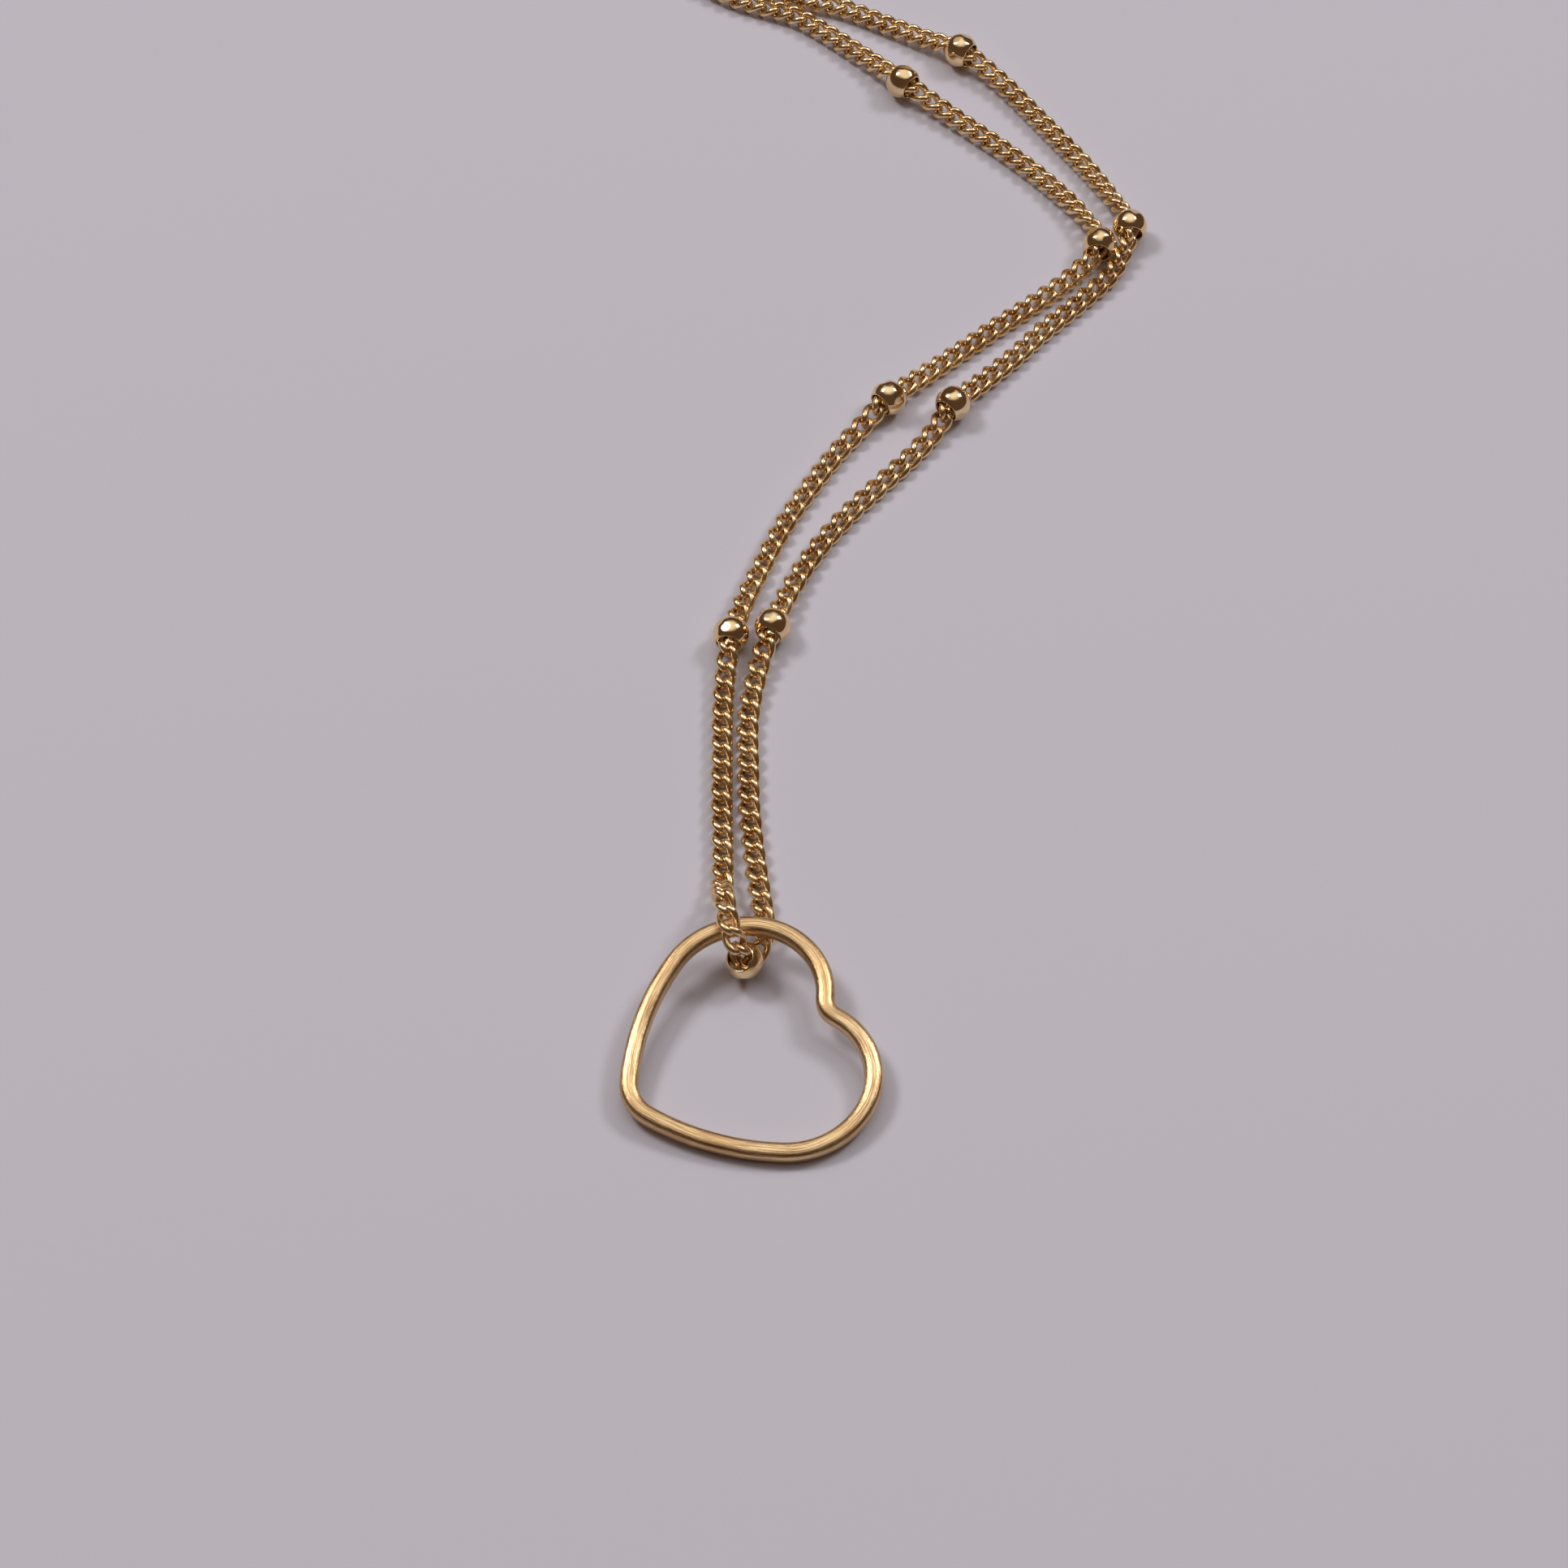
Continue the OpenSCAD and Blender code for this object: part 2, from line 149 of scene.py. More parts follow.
rightStrand = {
    "body": "chain",
    "route": [
        (-0.5, 5.8, 1.8), (-0.1, 6.1, 1.3), (0.4, 6.9, underWire), (0.75, 8, underWire),
        (0.75, 9.4, 0.9), (0.6, 11, rest), (0.15, 14.6, rest), (-0.2, 18.4, rest),
        (-0.3, 22.2, rest), (-0.3, 26, rest), (0.3, 29.7, 0.8), (1.3, 33.2, beadHeight),
        (2.5, 36.6, 0.8), (4.2, 40, rest), (6.3, 43, rest), (8.6, 45.7, rest),
        (10.9, 48.3, rest), (12.6, 50.5, 0.8), (13.9, 52.6, beadHeight), (16.1, 55, 0.8),
        (18.4, 57.4, rest), (20.6, 59.9, rest), (23.3, 62.6, rest), (25.7, 65.4, 0.8),
        (26.9, 69, beadHeight), (25.7, 72.1, 0.8), (24, 75.1, rest), (22, 78, rest),
        (20, 80.8, rest), (17.8, 83.6, 0.8), (15.1, 86.1, beadHeight), (12.5, 87.7, 0.8),
        (9.5, 89.4, rest), (6.4, 91, rest), (3.4, 91.9, rest), (0.4, 93.2, 0.8),
        (-2.2, 95.6, 1.1), (-3.5, 97.3, beadHeight), (-4.6, 100.4, 0.8), (-4.95, 103.4, rest)],
    "beads": ["middle_bead"] + ["right_bead_%d" % i for i in range(1, 8)],
    "turned": 248,
    "inner": 1,
    "ending": [(8.5, 99.3, 0.9), (7.4, 99, 1.1), (6.9, 99.5, 1.1), (6.9, 100.6, 1)],
    "up": {0: (0, 1, 0.1), 1: (0, 1, 0.4), 2: (0, 0.4, 1), 3: (0, 0, 1)},
    "roll": {0: 0, 11: 0, 14: 40, 22: 40, 24: 60, 26: 0},
    "pitch": {0: 1.3, 10: 1.3, 12: 1.15, 30: 1.1},
}
coil = {"centre": (6.9, 108), "radius": 14.5, "gap": 2.6, "step": 14}


def spiralPoints(strand):
    # the strand is wound clockwise, from the coil's left side, two gaps inwards a turn
    points = []
    for angle in range(0, strand["turned"], coil["step"]):
        radius = coil["radius"] - coil["gap"] * (strand["inner"] + 2 * angle / 360)
        turn = math.radians(angle)
        points.append((coil["centre"][0] - radius * math.cos(turn),
                       coil["centre"][1] + radius * math.sin(turn), rest))
    return points


def beadCentre(node):
    low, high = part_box(node)
    return (low + high) / 2


def smoothRun(points, parts=30):
    # a smooth line through the points; each sample keeps its place among them
    ends = [2 * points[0] - points[1]] + points + [2 * points[-1] - points[-2]]
    samples = []
    for i in range(len(points) - 1):
        a, b, c, d = ends[i:i + 4]
        for j in range(parts):
            t = j / parts
            place = 0.5 * (2 * b + (c - a) * t + (2 * a - 5 * b + 4 * c - d) * t ** 2
                           + (3 * b - a - 3 * c + d) * t ** 3)
            samples.append((place, i + t))
    samples.append((points[-1], len(points) - 1.0))
    return samples


def readTable(table, place):
    # straight-line reading between the places a table gives
    keys = sorted(table)
    if place <= keys[0]:
        return table[keys[0]]
    for low, high in zip(keys, keys[1:]):
        if place <= high:
            t = (place - low) / (high - low)
            return table[low] * (1 - t) + table[high] * t
    return table[keys[-1]]


class ChainRun:
    # the centre line of a strand, read by the length along it
    def __init__(self, strand):
        self.strand = strand
        coilPoints = spiralPoints(strand)
        points = [mmVector(p) for p in strand["route"] + coilPoints + strand["ending"]]
        seen = len(strand["route"])
        centres = [beadCentre(node) for node in strand["beads"]]
        self.samples = []
        for place, at in smoothRun(points):
            if seen <= at < seen + len(coilPoints):  # in the coil, beads lift the chain
                near = min((centre.xy - place.xy).length for centre in centres)
                lift = max(0, 1 - near / (beadReach * mm))
                lift = lift ** 2 * (3 - 2 * lift)
                place = place + Vector((0, 0, (beadHeight - rest) * mm * lift))
            self.samples.append((place, at))
        self.runs = [0.0]
        for (a, _), (b, _) in zip(self.samples, self.samples[1:]):
            self.runs.append(self.runs[-1] + (b - a).length)
        self.length = self.runs[-1]
        self.up = {k: Vector(v) for k, v in strand["up"].items()}
        self.hint = 0

    def nearest(self, point):
        gaps = [(place - point).length for place, _ in self.samples]
        return self.runs[gaps.index(min(gaps))]

    def at(self, run):
        while self.hint and self.runs[self.hint] > run:
            self.hint -= 1
        while self.hint < len(self.runs) - 2 and self.runs[self.hint + 1] < run:
            self.hint += 1
        i = self.hint
        t = (run - self.runs[i]) / max(1e-9, self.runs[i + 1] - self.runs[i])
        t = min(1, max(0, t))
        (a, ka), (b, kb) = self.samples[i], self.samples[i + 1]
        return a.lerp(b, t), ka + (kb - ka) * t

    def frameAt(self, run):
        step = sightStep * mm
        place, at = self.at(run)
        ahead = self.at(min(self.length, run + step))[0]
        behind = self.at(max(0, run - step))[0]
        along = (ahead - behind).normalized()
        up = readTable(self.up, at)
        up = (up - along * up.dot(along)).normalized()
        up = Matrix.Rotation(math.radians(readTable(self.strand["roll"], at)), 3, along) @ up
        side = up.cross(along)
        turn = Matrix((along, side, up)).transposed()
        return Matrix.Translation(place) @ turn.to_4x4()

    def path(self, step=1.0 * mm):
        count = round(self.length / step)
        return [tuple(self.at(self.length * i / count)[0]) for i in range(count + 1)]


def makeCurbLink():
    # a round ring of wire, stretched to an oval and twisted so that the next link fits in
    bm = bmesh.new()
    radius = link["ring"]
    stand = Matrix.Translation((radius, 0, 0)) @ Matrix.Rotation(math.pi / 2, 4, "X")
    bmesh.ops.create_circle(bm, segments=link["sides"], radius=link["wire"] / 2, matrix=stand)
    bmesh.ops.spin(bm, geom=bm.verts[:] + bm.edges[:], cent=(0, 0, 0), axis=(0, 0, 1),
                   angle=2 * math.pi, steps=link["around"], use_merge=True)
    a, b, c, kink = link["halfLength"], link["halfWidth"], link["rise"], link["kink"]
    for vert in bm.verts:
        t = math.atan2(vert.co.y, vert.co.x)
        out, height = math.hypot(vert.co.x, vert.co.y) - radius, vert.co.z
        x, y = (math.copysign(abs(f) ** link["taper"], f) for f in (math.cos(t), math.sin(t)))
        middle = Vector((a * x, b * y, c * math.sin(2 * t) + kink * math.sin(4 * t)))
        slope = 2 * c * math.cos(2 * t) + 4 * kink * math.cos(4 * t)
        along = Vector((-a * math.sin(t), b * math.cos(t), slope))
        along.normalize()
        outward = Vector((b * math.cos(t), a * math.sin(t), 0))
        outward = (outward - along * outward.dot(along)).normalized()
        out *= 1 + (link["flank"] / link["wire"] - 1) * math.sin(t) ** 2
        vert.co = (middle + outward * out + outward.cross(along) * height) * mm
    bmesh.ops.recalc_face_normals(bm, faces=bm.faces)
    mesh = bpy.data.meshes.new("curbLink")
    bm.to_mesh(mesh)
    bm.free()
    return mesh


def linkStrand(name, run):
    # whole numbers of links between one bead and the next, then on to the strand's end
    stops = [run.nearest(beadCentre(node)) for node in run.strand["beads"]]
    stops[0] = 0
    stops.append(run.length)
    bm = bmesh.new()
    pattern = makeCurbLink()
    total = 0
    for start, end in zip(stops, stops[1:]):
        pitch = readTable(run.strand["pitch"], run.at(start)[1]) * mm
        count = round((end - start) / pitch)
        step = (end - start) / count
        fitted = Matrix.Scale(step / (link["pitch"] * mm), 4, (1, 0, 0))
        for i in range(count):
            placed = pattern.copy()
            placed.transform(run.frameAt(start + step * (i + 0.5)) @ fitted)
            bm.from_mesh(placed)
            bpy.data.meshes.remove(placed)
        total += count
    piece = addPiece(name, bm, run.strand["body"])
    print(name, total, "links,", round(run.length / mm, 1), "mm")
    return addSubdivision(piece)


leftRun = ChainRun(leftStrand)
rightRun = ChainRun(rightStrand)
leftChain = linkStrand("leftChain", leftRun)
rightChain = linkStrand("rightChain", rightRun)
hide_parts("left_chain")
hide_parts("right_chain", "coiled_chain")


# heart, bent from wire with soft flats

heart = {
    "width": 17.8,
    "wireWidth": 1.25,
    "wireHeight": 1.15,
    "squareness": 2.6,  # 2 would be an oval wire, a high value a square one
    "tip": (2.5, 31),  # bend radius and turn of each arc of half the outline
    "flankTurn": 30,
    "shoulder": (5.7, 64),
    "notch": (1.25, 33),
    "turn": 27.5,
    "loop": (-0.177, 7.93, 2.605),  # middle of the wire where the chain holds it
    "tilt": 7.123,
    "step": 0.22,
    "sides": 28,
    "weld": 0.02,  # the wire's two ends meet within this
}


def heartBends():
    # radius and turn of every bend from the tip round to the tip
    sin, rad = math.sin, math.radians
    tipR, tipTurn = heart["tip"]
    shoulderR, shoulderTurn = heart["shoulder"]
    notchR, notchTurn = heart["notch"]
    flankEnd = tipTurn + heart["flankTurn"]
    shoulderEnd = flankEnd + shoulderTurn
    lobeTurn = 180 + notchTurn - shoulderEnd
    lobeEnd = shoulderEnd + lobeTurn
    half = (heart["width"] - heart["wireWidth"]) / 2
    flankR = ((half - tipR * sin(rad(tipTurn)) - shoulderR * (1 - sin(rad(flankEnd))))
              / (sin(rad(flankEnd)) - sin(rad(tipTurn))))
    lobeR = ((tipR * sin(rad(tipTurn)) + flankR * (sin(rad(flankEnd)) - sin(rad(tipTurn)))
              + shoulderR * (sin(rad(shoulderEnd)) - sin(rad(flankEnd)))
              + notchR * sin(rad(lobeEnd))) / (sin(rad(shoulderEnd)) - sin(rad(lobeEnd))))
    side = [(tipR, tipTurn), (flankR, heart["flankTurn"]), (shoulderR, shoulderTurn),
            (lobeR, lobeTurn), (-notchR, notchTurn)]
    return side + side[::-1]


def heartPlace(bends):
    # the far side of the heart lies on the chain, at the top point of its outline
    place, heading = Vector((0, 0)), 0.0
    goal = 90 + heart["turn"]
    for radius, turn in bends:
        turnTo = min(heading + turn, goal)
        h0, h1 = math.radians(heading), math.radians(turnTo)
        place += radius * Vector((math.cos(h0) - math.cos(h1), math.sin(h1) - math.sin(h0)))
        heading = turnTo
        if heading >= goal:
            break
    top = Matrix.Rotation(math.radians(heart["turn"]), 4, "Z") @ Vector((place.x, place.y, 0))
    return (Matrix.Translation(heart["loop"]) @ Matrix.Rotation(math.radians(heart["tilt"]), 4, "X")
            @ Matrix.Translation(-top) @ Matrix.Rotation(math.radians(heart["turn"]), 4, "Z"))


def makeHeart():
    bm = bmesh.new()
    runLayer = bm.verts.layers.float.new("run")
    girthLayer = bm.verts.layers.float.new("girth")
    stand = Matrix.Rotation(math.pi / 2, 4, "X")
    bmesh.ops.create_circle(bm, segments=heart["sides"], radius=1, matrix=stand)
    flatten = 2 / heart["squareness"]
    for vert in bm.verts:  # soft flats on a round wire
        vert[girthLayer] = math.atan2(vert.co.z, vert.co.x) / (2 * math.pi) + 0.5
        vert.co.x = math.copysign(abs(vert.co.x) ** flatten, vert.co.x) * heart["wireWidth"] / 2
        vert.co.z = math.copysign(abs(vert.co.z) ** flatten, vert.co.z) * heart["wireHeight"] / 2
    section = bm.verts[:] + bm.edges[:]
    bends = heartBends()
    place, heading, total = Vector((0, 0, 0)), 0.0, 0.0
    for radius, turn in bends:
        h = math.radians(heading)
        centre = place + radius * Vector((math.cos(h), -math.sin(h), 0))
        length = abs(radius) * math.radians(turn)
        steps = max(3, round(length / heart["step"]))
        angle = -math.copysign(math.radians(turn), radius) / steps
        for i in range(steps):
            made = bmesh.ops.spin(bm, geom=section, cent=centre, axis=(0, 0, 1), angle=angle, steps=1)
            section = made["geom_last"]
            total += length / steps
            for item in section:
                if isinstance(item, bmesh.types.BMVert):
                    item[runLayer] = total
        place = centre + Matrix.Rotation(angle * steps, 3, "Z") @ (place - centre)
        heading += math.copysign(turn, radius)
    bmesh.ops.remove_doubles(bm, verts=bm.verts, dist=heart["weld"])
    uv = bm.loops.layers.uv.new("wire")
    for face in bm.faces:  # the map runs on past the seams along and round the wire
        runs = [v[runLayer] for v in face.verts]
        girths = [v[girthLayer] for v in face.verts]
        for corner in face.loops:
            run, girth = corner.vert[runLayer], corner.vert[girthLayer]
            if max(runs) - min(runs) > total / 2 and run < total / 2:
                run += total
            if max(girths) - min(girths) > 0.5 and girth < 0.5:
                girth += 1
            corner[uv].uv = (run, girth)
    bmesh.ops.transform(bm, matrix=Matrix.Scale(mm, 4) @ heartPlace(bends), verts=bm.verts)
    bmesh.ops.recalc_face_normals(bm, faces=bm.faces)
    print("heart made,", round(total, 1), "mm of wire")
    return addSubdivision(addPiece("heartPendant", bm, "pendant"))


heartPendant = makeHeart()
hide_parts("heart")


# polished beads with a wide hole

bead = {
    "radius": 1.25,
    "hole": 0.83,
    "lip": 0.06,
    "rings": 18,
    "around": 48,
    "facets": 12,  # shallow flats left by the closing tool
    "facetAngle": (14, 22),
    "facetHeight": 0.55,  # how near a flat may come to the holes, as a share of the radius
    "weld": 0.001,
    "middleAxis": (-0.32, -0.34, 0.885),  # the way the hole of the bead at the fold points
}


def makeBead(name, centre, along, seed):
    bm = bmesh.new()
    radius, hole, lip = bead["radius"], bead["hole"], bead["lip"]
    edge = math.asin((hole + lip) / radius)
    reach = radius * math.cos(edge)
    # profile from the hole's middle over the rim, along the ball and back
    profile = [(hole, 0), (hole, reach * 0.6), (hole, reach - 2 * lip),
               (hole + 0.2 * lip, reach - 0.4 * lip)]
    for i in range(bead["rings"] + 1):
        angle = edge + (math.pi - 2 * edge) * i / bead["rings"]
        profile.append((radius * math.sin(angle), radius * math.cos(angle)))
    profile += [(x, -z) for x, z in profile[3:0:-1]]
    verts = [bm.verts.new((x, 0, z)) for x, z in profile]
    edges = [bm.edges.new(pair) for pair in zip(verts, verts[1:] + verts[:1])]
    bmesh.ops.spin(bm, geom=verts + edges, cent=(0, 0, 0), axis=(0, 0, 1), angle=2 * math.pi,
                   steps=bead["around"], use_merge=True)
    bmesh.ops.remove_doubles(bm, verts=bm.verts, dist=bead["weld"])
    chance = random.Random(seed)
    highest = bead["facetHeight"]
    for i in range(bead["facets"]):
        around, up = chance.uniform(0, 2 * math.pi), chance.uniform(-highest, highest)
        level = math.sqrt(1 - up * up)
        facing = Vector((level * math.cos(around), level * math.sin(around), up))
        flat = radius * math.cos(math.radians(chance.uniform(*bead["facetAngle"])))
        for vert in bm.verts:
            over = vert.co.dot(facing) - flat
            if over > 0 and math.hypot(vert.co.x, vert.co.y) > hole + lip:
                vert.co -= facing * over
    turn = Vector((0, 0, 1)).rotation_difference(along).to_matrix().to_4x4()
    placed = Matrix.Translation(centre) @ turn @ Matrix.Scale(mm, 4)
    bmesh.ops.transform(bm, matrix=placed, verts=bm.verts)
    bmesh.ops.recalc_face_normals(bm, faces=bm.faces)
    return addSubdivision(addPiece(name, bm, "chain"))


def beadName(node):
    first, *others = node.split("_")
    return first + "".join(word.capitalize() for word in others)


beads = {}
for run, nodes in ((leftRun, leftStrand["beads"]), (rightRun, rightStrand["beads"][1:])):
    for node in nodes:
        centre = beadCentre(node)
        along = run.frameAt(run.nearest(centre)).to_3x3().col[0]
        if node == "middle_bead":
            along = Vector(bead["middleAxis"]).normalized()
        beads[node] = makeBead(beadName(node), centre, along, len(beads) + 1)
        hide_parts(node)
print("beads made:", len(beads))


# clasp with softened edges, and the two rings with their seams

clasp = {
    "weld": 0.002,
    "grain": 0.075,  # size of the even faces that the casting is remade of
    "relaxing": 0.5,
    "bodySoftness": 22,  # how many times the faces are relaxed
    "leverSoftness": 8,
}
ring = {
    "seam": 2.2,  # degrees left open
    "steps": 44,
    "sides": 16,
    "jumpSeamAt": 200,  # degrees from the far side, over the top
    "closingSeamAt": 70,
}


def softenedCopy(name, node, body, softness):
    # a casting has no sharp edge: the plain shape is remade of even faces and relaxed
    bm = bmesh.new()
    bm.from_mesh(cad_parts[node].data)
    bmesh.ops.remove_doubles(bm, verts=bm.verts, dist=clasp["weld"] * mm)
    piece = addPiece(name, bm, body)
    evening = piece.modifiers.new("evening", "REMESH")
    evening.mode = "VOXEL"
    evening.voxel_size = clasp["grain"] * mm
    evening.use_smooth_shade = True
    relaxing = piece.modifiers.new("relaxing", "SMOOTH")
    relaxing.factor = clasp["relaxing"]
    relaxing.iterations = softness
    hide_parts(node)
    return piece


def makeRing(name, node, body, seamAt):
    # a length of round wire bent to a ring that stands on edge, its two ends nearly touching
    low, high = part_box(node)
    centre, size = (low + high) / 2, high - low
    wire, radius = size.x / 2, (size.z - size.x) / 2
    bm = bmesh.new()
    stand = (Matrix.Translation(centre) @ Matrix.Rotation(math.radians(seamAt), 4, "X")
             @ Matrix.Translation((0, radius, 0)))
    bmesh.ops.create_circle(bm, segments=ring["sides"], radius=wire, cap_ends=True, matrix=stand)
    bmesh.ops.spin(bm, geom=bm.faces[:] + bm.edges[:] + bm.verts[:], cent=centre, axis=(1, 0, 0),
                   angle=math.radians(360 - ring["seam"]), steps=ring["steps"])
    bmesh.ops.recalc_face_normals(bm, faces=bm.faces)
    piece = addPiece(name, bm, body)
    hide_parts(node)
    return piece


claspBody = softenedCopy("claspBody", "clasp_body", "chain", clasp["bodySoftness"])
claspLever = softenedCopy("claspLever", "clasp_lever", "lever", clasp["leverSoftness"])
jumpRing = makeRing("jumpRing", "left_jump_ring", "left_ring", ring["jumpSeamAt"])
closingRing = makeRing("closingRing", "closing_ring", "hook_ring", ring["closingSeamAt"])
print("clasp and rings made")


# finishes

class Wire:
    # an output of a shader node; sums and products of it add Math nodes
    def __init__(self, shading, socket):
        self.shading, self.socket = shading, socket

    def math(self, operation, first, second):
        return self.shading.node("ShaderNodeMath", {"operation": operation}, {0: first, 1: second})

    def __add__(self, other):
        return self.math("ADD", self, other)

    def __radd__(self, other):
        return self.math("ADD", other, self)

    def __mul__(self, other):
        return self.math("MULTIPLY", self, other)

    def __rmul__(self, other):
        return self.math("MULTIPLY", other, self)


class Shading:
    # the nodes of a material or of the room around
    def __init__(self, owner):
        owner.use_nodes = True
        self.tree = owner.node_tree

    def node(self, kind, settings=None, inputs=None, output=0):
        made = self.tree.nodes.new(kind)
        for key, value in (settings or {}).items():
            if key == "stops":
                for stop, (at, colour) in zip(made.color_ramp.elements, value):
                    stop.position, stop.color = at, colour
            else:
                setattr(made, key, value)
        for key, value in (inputs or {}).items():
            self.feed(made.inputs[key], value)
        return Wire(self, made.outputs[output])

    def feed(self, socket, value):
        if isinstance(value, Wire):
            self.tree.links.new(value.socket, socket)
        else:
            socket.default_value = value


class Finish(Shading):
    def __init__(self, name):
        self.material = bpy.data.materials.new(name)
        super().__init__(self.material)
        self.shader = self.tree.nodes["Principled BSDF"]
        self.coords = self.node("ShaderNodeTexCoord", output="Object")

    def fill(self, **values):
        # baseColor goes into the socket named Base Color, and so on
        for key, value in values.items():
            name = "".join(" " + c if c.isupper() else c for c in key)
            self.feed(self.shader.inputs[name[0].upper() + name[1:]], value)

    def mix(self, factor, first, second):
        return self.node("ShaderNodeMix", {"data_type": "RGBA"}, {0: factor, 6: first, 7: second}, 2)

    def grain(self, coords, scale, detail, roughness=0.5):
        return self.node("ShaderNodeTexNoise", None,
                         {"Vector": coords, "Scale": scale, "Detail": detail, "Roughness": roughness})

    def smooth(self, value, span):
        return self.node("ShaderNodeMapRange", {"interpolation_type": "SMOOTHSTEP"},
                         {"Value": value, "From Min": span[0], "From Max": span[1]})

    def bump(self, strength, distance, height):
        return self.node("ShaderNodeBump", None,
                         {"Strength": strength, "Distance": distance, "Height": height})

    def stretched(self, vector, scale):
        return self.node("ShaderNodeMapping", None, {"Vector": vector, "Scale": scale})


goldTones = {
    "light": (0.94, 0.71, 0.4, 1),
    "deep": (0.76, 0.5, 0.25, 1),
    # the groove tone is painted shade: a darker colour laid into the low parts of the heart's drawing
    # lines
    "groove": (0.46, 0.27, 0.13, 1),
}


plating = {
    "driftScale": 420,
    "driftSpan": (0.3, 0.7),
    "patchScale": 1500,
    "patchSpan": (0.35, 0.7),
    "patchDent": 0.4,
    "depth": 0.00001,
}
# light and deep tone, least roughness and how much patches add, strength and scale of marks
platedFinishes = {
    "chainGold": ((0.93, 0.71, 0.41, 1), (0.78, 0.53, 0.27, 1), 0.2, 0.12, 0.3, 9000),
    "beadGold": ((0.94, 0.72, 0.42, 1), (0.86, 0.61, 0.32, 1), 0.09, 0.08, 0.25, 5000),
    "claspGold": (goldTones["light"], goldTones["deep"], 0.15, 0.08, 0.1, 6000),
    "springSteel": ((0.6, 0.6, 0.62, 1), (0.5, 0.5, 0.52, 1), 0.25, 0.1, 0.2, 6000),
}
wireMarks = {
    "alongScale": (0.4, 90, 1),
    "acrossScale": (12, 8, 1),
    "chatter": 0.8,
    "strength": 0.5,
    "depth": 0.00003,
    "driftScale": 300,
    "driftSpan": (0.3, 0.7),
    # grooveSpan sets where the painted groove shade fades into the plain tone, by the height of the
    # lines
    "grooveSpan": (0.38, 0.56),
    "roughness": 0.16,  # and as much again in the lines
}


def platedFinish(name):
    # slow drift of tone, patches of wear and hairline marks
    light, deep, rough, spread, marks, markScale = platedFinishes[name]
    finish = Finish(name)
    drift = finish.grain(finish.coords, plating["driftScale"], 2)
    patches = finish.smooth(finish.grain(finish.coords, plating["patchScale"], 4, 0.6),
                            plating["patchSpan"])
    hair = finish.grain(finish.coords, markScale, 5, 0.65)
    bump = finish.bump(marks, plating["depth"], hair + patches * plating["patchDent"])
    finish.fill(baseColor=finish.mix(finish.smooth(drift, plating["driftSpan"]), deep, light),
                metallic=1.0, roughness=rough + patches * spread, normal=bump)
    return finish.material


def heartFinish():
    # drawing lines along the wire, and the tool's fine chatter across it; the lines' low grooves get
    # a darker tone, which is painted shade
    finish = Finish("heartGold")
    wire = finish.node("ShaderNodeUVMap", {"uv_map": "wire"})
    lines = finish.grain(finish.stretched(wire, wireMarks["alongScale"]), 1, 3, 0.6)
    chatter = finish.grain(finish.stretched(wire, wireMarks["acrossScale"]), 1, 2, 0.6)
    drift = finish.grain(finish.coords, wireMarks["driftScale"], 2)
    bump = finish.bump(wireMarks["strength"], wireMarks["depth"],
                       lines + chatter * wireMarks["chatter"])
    tone = finish.mix(finish.smooth(drift, wireMarks["driftSpan"]),
                      goldTones["deep"], goldTones["light"])
    # painted shade: the low parts of the drawing lines are coloured darker
    paintedGrooveShade = finish.smooth(lines, wireMarks["grooveSpan"])
    finish.fill(baseColor=finish.mix(paintedGrooveShade, goldTones["groove"], tone), metallic=1.0,
                roughness=wireMarks["roughness"] + lines * wireMarks["roughness"], normal=bump)
    return finish.material


def dress(piece, material):
    piece.data.materials.clear()
    piece.data.materials.append(material)


chainGold, beadGold, claspGold, springSteel = (platedFinish(name) for name in platedFinishes)
heartGold = heartFinish()
dress(leftChain, chainGold)
dress(rightChain, chainGold)
dress(heartPendant, heartGold)
for piece in beads.values():
    dress(piece, beadGold)
for piece in (claspBody, claspLever, jumpRing, closingRing):
    dress(piece, claspGold)
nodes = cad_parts
for node in ("clasp_pin", "left_end_link", "right_end_link"):
    nodes[node].material_slots[0].material = claspGold
nodes["clasp_spring"].material_slots[0].material = springSteel
print("finishes made")

leftRun.path()[0]
leftRun.path()
([beads[node] for node in leftStrand["beads"]]
        + [jumpRing, claspBody, claspLever]
        + [nodes["left_end_link"], nodes["clasp_pin"], nodes["clasp_spring"]])
rightRun.path()[0]
rightRun.path()
([beads[node] for node in rightStrand["beads"][1:]]
        + [closingRing, nodes["right_end_link"]])


# floor and light

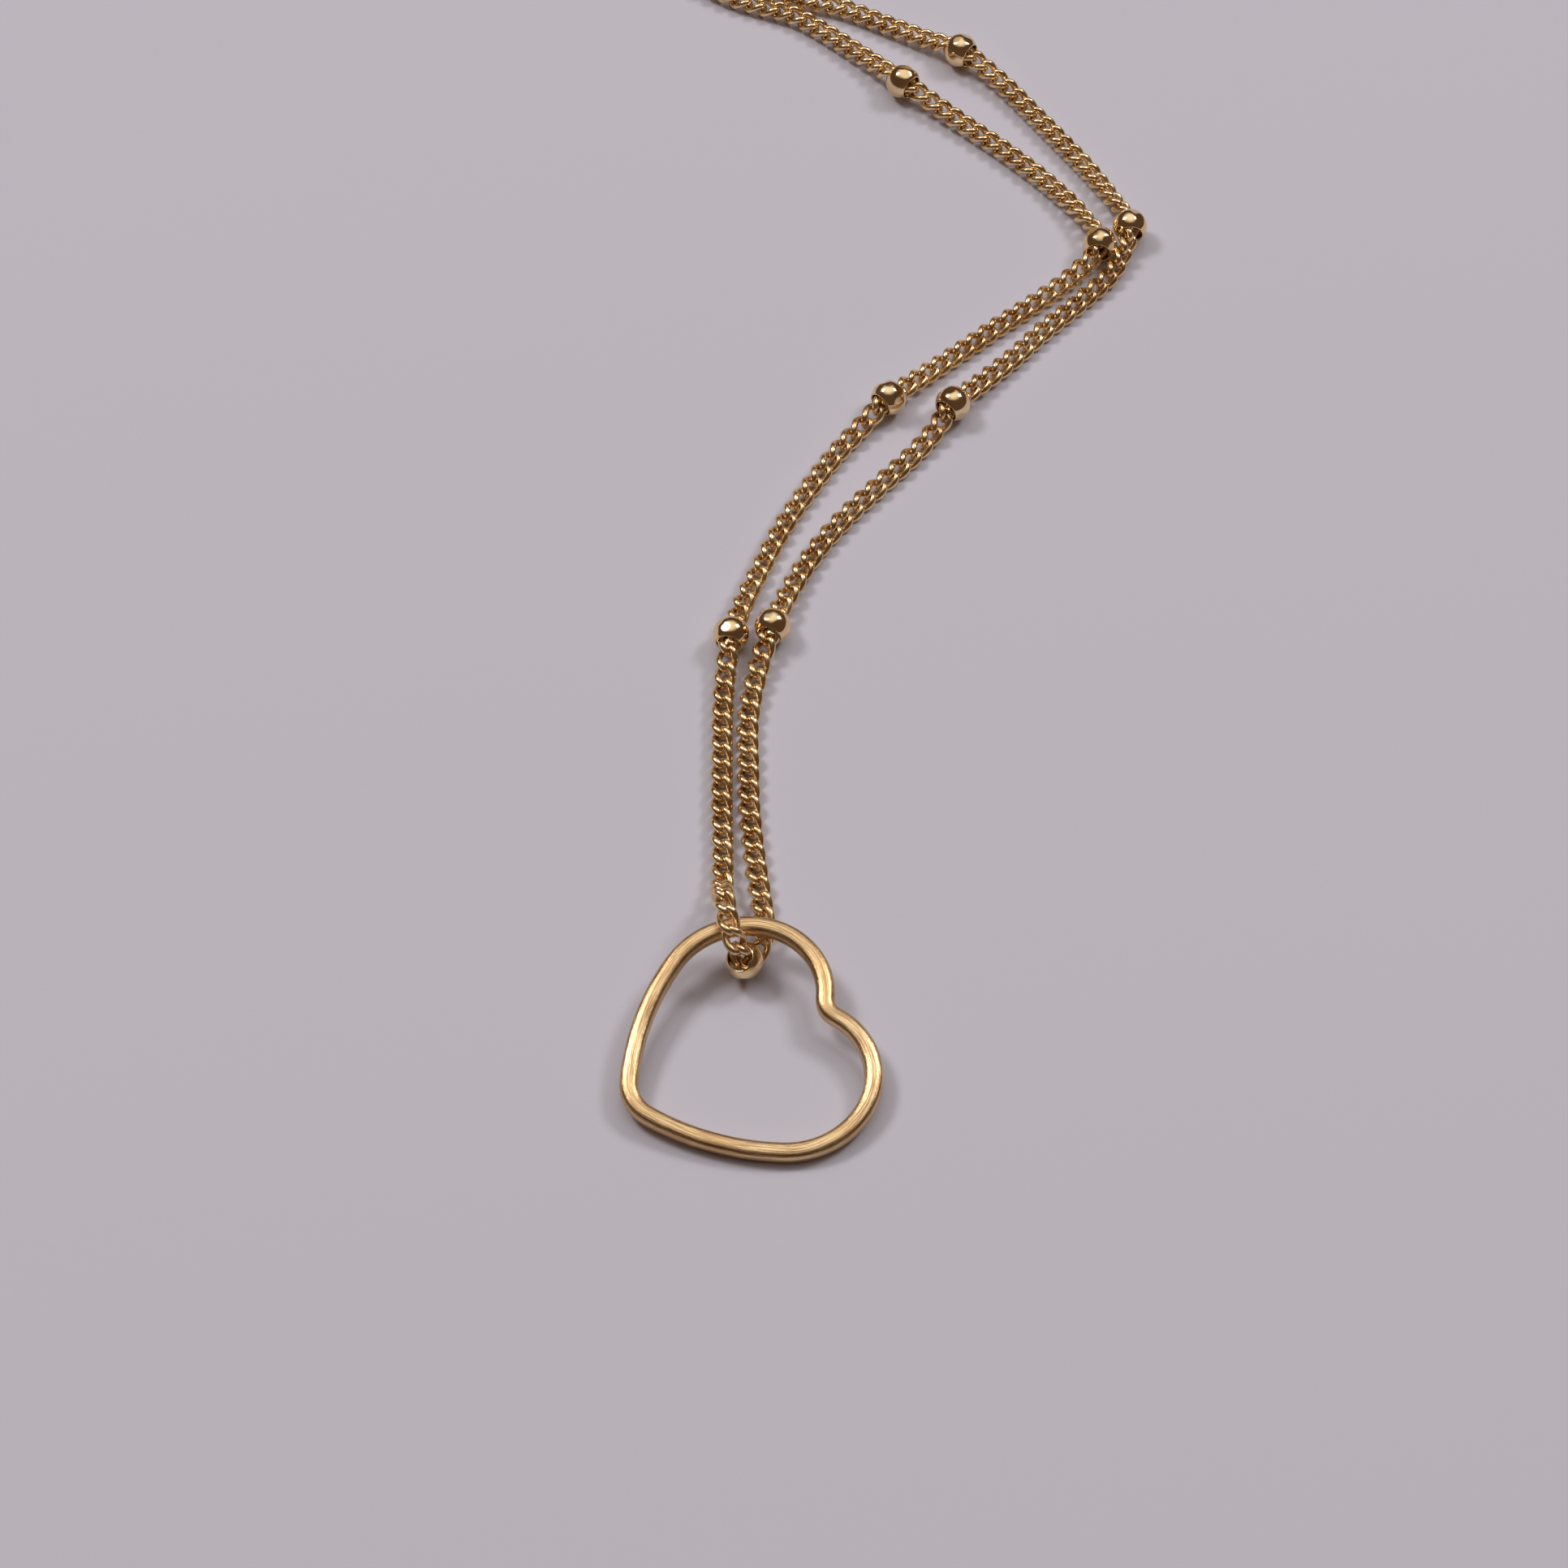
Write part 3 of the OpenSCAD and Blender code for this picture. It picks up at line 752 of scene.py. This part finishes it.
studio = {
    "floorTone": (0.675, 0.66, 0.755, 1),
    "floorSize": 3.0,
    "floorRoughness": 0.75,
    "fibreScale": 2500,
    "fibreStrength": 0.1,
    "fibreDepth": 0.00002,
    "brightSide": (0, 0.36, 0.933),  # where the room is brightest
    "roomTones": [(0.74, (0.08, 0.05, 0.035, 1)), (0.95, (1, 0.97, 0.94, 1))],
    "roomLight": 1.02,
    "panels": {  # place, aim, size, power and tone
        "leftLamp": ((-0.55, 0.4, 0.85), (0, 0.04, 0), (0.26, 0.26), 3.2, (1, 0.97, 0.94)),
        "rightLamp": ((0.62, 0.45, 0.78), (0, 0.04, 0), (0.26, 0.26), 2.6, (1, 0.98, 0.97)),
    },
}


def makeFloor():
    bm = bmesh.new()
    bmesh.ops.create_grid(bm, x_segments=1, y_segments=1, size=studio["floorSize"] / 2)
    floor = addPiece("paper", bm)
    finish = Finish("paperFinish")
    fibre = finish.grain(finish.coords, studio["fibreScale"], 4, 0.6)
    bump = finish.bump(studio["fibreStrength"], studio["fibreDepth"], fibre)
    finish.fill(baseColor=studio["floorTone"], roughness=studio["floorRoughness"], normal=bump)
    dress(floor, finish.material)


def addSoftLight(name, place, aim, size, power, tone):
    data = bpy.data.lights.new(name, "AREA")
    data.shape = "RECTANGLE"
    data.size, data.size_y = size
    data.energy = power
    data.color = tone
    light = bpy.data.objects.new(name, data)
    scene.collection.objects.link(light)
    light.location = place
    light.rotation_euler = (Vector(aim) - Vector(place)).to_track_quat("-Z", "Y").to_euler()


def setLight():
    # a wide bright ceiling on the far side, a dim room on the viewer's side
    world = bpy.data.worlds.new("room")
    room = Shading(world)
    coords = room.node("ShaderNodeTexCoord", output="Generated")
    towards = room.node("ShaderNodeVectorMath", {"operation": "DOT_PRODUCT"},
                        {0: coords, 1: studio["brightSide"]}, "Value")
    tone = room.node("ShaderNodeValToRGB", {"stops": studio["roomTones"]}, {"Fac": towards})
    background = room.tree.nodes["Background"]
    room.feed(background.inputs["Color"], tone)
    room.feed(background.inputs["Strength"], studio["roomLight"])
    scene.world = world
    for name, light in studio["panels"].items():
        addSoftLight(name, *light)


makeFloor()
setLight()
scene.view_settings.view_transform = "Standard"
print("floor and light placed")

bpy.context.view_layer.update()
